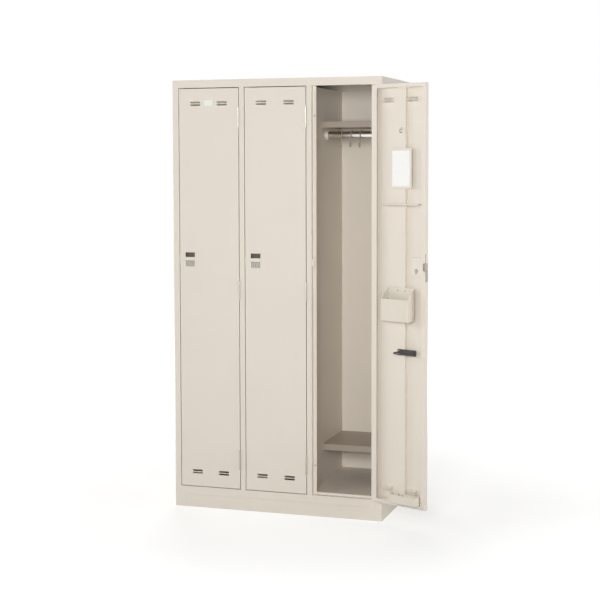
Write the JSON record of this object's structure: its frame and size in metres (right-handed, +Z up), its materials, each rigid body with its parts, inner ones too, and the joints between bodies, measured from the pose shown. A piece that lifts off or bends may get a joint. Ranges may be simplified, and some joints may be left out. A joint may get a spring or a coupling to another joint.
{
  "type": "wardrobe locker",
  "caption": "Tall sheet steel wardrobe locker with full-height hinged doors, shelves, hanger rails, door mirrors, pockets, umbrella holders and recessed pull handles.",
  "frame": {"origin": "middle of the footprint on the floor", "axes": "+X to the right seen from the front, +Y from the doors to the back, +Z up"},
  "size_m": [1.113, 0.664, 1.79],
  "materials": {
    "painted_steel": "satin beige baked paint with a fine orange-peel grain",
    "plated_rail": "bright plated tube",
    "shelf_enamel": "satin warm grey baked enamel",
    "beige_plastic": "moulded plastic in the colour of the doors",
    "zinc_steel": "zinc plated steel",
    "rubber": "soft pale rubber",
    "mirror_glass": "silvered glass",
    "painted_fitting": "satin beige paint on rod and die casting",
    "moulded_tray": "ivory moulded plastic with a soft shine",
    "black_coating": "black plastic coating on wire",
    "grey_plastic": "warm grey moulded plastic",
    "plated_lock": "plated lock face"
  },
  "bodies": {
    "cabinet": {"top_panel": "painted_steel", "side_panels": "painted_steel", "back_panel": "painted_steel", "floor_panel": "painted_steel", "front_posts": "painted_steel", "partitions": "painted_steel", "plinth_sides": "painted_steel", "plinth_rails": "painted_steel", "shelves": "shelf_enamel", "hanger_rails": "plated_rail", "rail_sockets": "beige_plastic", "frame_hinge_leaves": "zinc_steel", "hinge_pins": "zinc_steel", "latch_keepers": "painted_steel", "door_bumpers": "rubber"},
    "left_door": {"left_door_panel": "painted_steel", "left_door_stiffener": "painted_steel", "left_door_hinge_leaves": "zinc_steel", "left_mirror_frame": "beige_plastic", "left_mirror": "mirror_glass", "left_towel_rail": "painted_fitting", "left_pocket": "moulded_tray", "left_umbrella_ring": "black_coating", "left_drip_tray": "moulded_tray", "left_name_holder": "beige_plastic", "left_handle_cup": "beige_plastic"},
    "left_lever": {"left_handle_lever": "painted_fitting"},
    "left_cylinder": {"left_lock_cylinder": "plated_lock"},
    "left_bolt": {"left_latch_bolt": "grey_plastic"},
    "left_hooks": {"left_coat_hooks": "grey_plastic"},
    "middle_door": {"middle_door_panel": "painted_steel", "middle_door_stiffener": "painted_steel", "middle_door_hinge_leaves": "zinc_steel", "middle_mirror_frame": "beige_plastic", "middle_mirror": "mirror_glass", "middle_towel_rail": "painted_fitting", "middle_pocket": "moulded_tray", "middle_umbrella_ring": "black_coating", "middle_drip_tray": "moulded_tray", "middle_name_holder": "beige_plastic", "middle_handle_cup": "beige_plastic"},
    "middle_lever": {"middle_handle_lever": "painted_fitting"},
    "middle_cylinder": {"middle_lock_cylinder": "plated_lock"},
    "middle_bolt": {"middle_latch_bolt": "grey_plastic"},
    "middle_hooks": {"middle_coat_hooks": "grey_plastic"},
    "right_door": {"right_door_panel": "painted_steel", "right_door_stiffener": "painted_steel", "right_door_hinge_leaves": "zinc_steel", "right_mirror_frame": "beige_plastic", "right_mirror": "mirror_glass", "right_towel_rail": "painted_fitting", "right_pocket": "moulded_tray", "right_umbrella_ring": "black_coating", "right_drip_tray": "moulded_tray", "right_name_holder": "beige_plastic", "right_handle_cup": "beige_plastic"},
    "right_lever": {"right_handle_lever": "painted_fitting"},
    "right_cylinder": {"right_lock_cylinder": "plated_lock"},
    "right_bolt": {"right_latch_bolt": "grey_plastic"},
    "right_hooks": {"right_coat_hooks": "grey_plastic"}
  },
  "joints": [
    {"name": "left_door_hinge", "type": "hinge", "parent": "cabinet", "child": "left_door", "pos_m": [-0.1575, -0.2615, 0.9225], "axis": [0, 0, 1], "range_deg": [0, 165]},
    {"name": "left_lever_pull", "type": "hinge", "parent": "left_door", "child": "left_lever", "pos_m": [-0.375, -0.256, 1.043], "axis": [1, 0, 0], "range_deg": [0, 30], "stiffness_Nm_per_rad": 0.6, "springref_deg": -8.59},
    {"name": "left_bolt_slide", "type": "slide", "parent": "left_door", "child": "left_bolt", "axis": [1, 0, 0], "range_m": [0, 0.009]},
    {"name": "left_key_turn", "type": "hinge", "parent": "left_door", "child": "left_cylinder", "pos_m": [-0.375, -0.2575, 1.028], "axis": [0, 1, 0], "range_deg": [0, 90]},
    {"name": "left_hook_slide", "type": "slide", "parent": "cabinet", "child": "left_hooks", "axis": [1, 0, 0], "range_m": [-0.047, 0.135]},
    {"name": "middle_door_hinge", "type": "hinge", "parent": "cabinet", "child": "middle_door", "pos_m": [0.1325, -0.2615, 0.9225], "axis": [0, 0, 1], "range_deg": [0, 165]},
    {"name": "middle_lever_pull", "type": "hinge", "parent": "middle_door", "child": "middle_lever", "pos_m": [-0.085, -0.256, 1.043], "axis": [1, 0, 0], "range_deg": [0, 30], "stiffness_Nm_per_rad": 0.6, "springref_deg": -8.59},
    {"name": "middle_bolt_slide", "type": "slide", "parent": "middle_door", "child": "middle_bolt", "axis": [1, 0, 0], "range_m": [0, 0.009]},
    {"name": "middle_key_turn", "type": "hinge", "parent": "middle_door", "child": "middle_cylinder", "pos_m": [-0.085, -0.2575, 1.028], "axis": [0, 1, 0], "range_deg": [0, 90]},
    {"name": "middle_hook_slide", "type": "slide", "parent": "cabinet", "child": "middle_hooks", "axis": [1, 0, 0], "range_m": [-0.045, 0.133]},
    {"name": "right_door_hinge", "type": "hinge", "parent": "cabinet", "child": "right_door", "pos_m": [0.4225, -0.2615, 0.9225], "axis": [0, 0, 1], "range_deg": [-157, 8]},
    {"name": "right_lever_pull", "type": "hinge", "parent": "right_door", "child": "right_lever", "pos_m": [0.62056, -0.35155, 1.043], "axis": [-0.9205, 0.3907, 0], "range_deg": [0, 30], "stiffness_Nm_per_rad": 0.6, "springref_deg": -8.59},
    {"name": "right_bolt_slide", "type": "slide", "parent": "right_door", "child": "right_bolt", "axis": [-0.9205, 0.3907, 0], "range_m": [0, 0.009]},
    {"name": "right_key_turn", "type": "hinge", "parent": "right_door", "child": "right_cylinder", "pos_m": [0.62115, -0.35017, 1.028], "axis": [-0.3907, -0.9205, 0], "range_deg": [0, 90]},
    {"name": "right_hook_slide", "type": "slide", "parent": "cabinet", "child": "right_hooks", "axis": [1, 0, 0], "range_m": [-0.058, 0.146]}
  ],
  "couplings": [
    {"joint": "left_bolt_slide", "follows": "left_lever_pull", "m_per_rad": 0.01718},
    {"joint": "middle_bolt_slide", "follows": "middle_lever_pull", "m_per_rad": 0.01718},
    {"joint": "right_bolt_slide", "follows": "right_lever_pull", "m_per_rad": 0.01718}
  ]
}
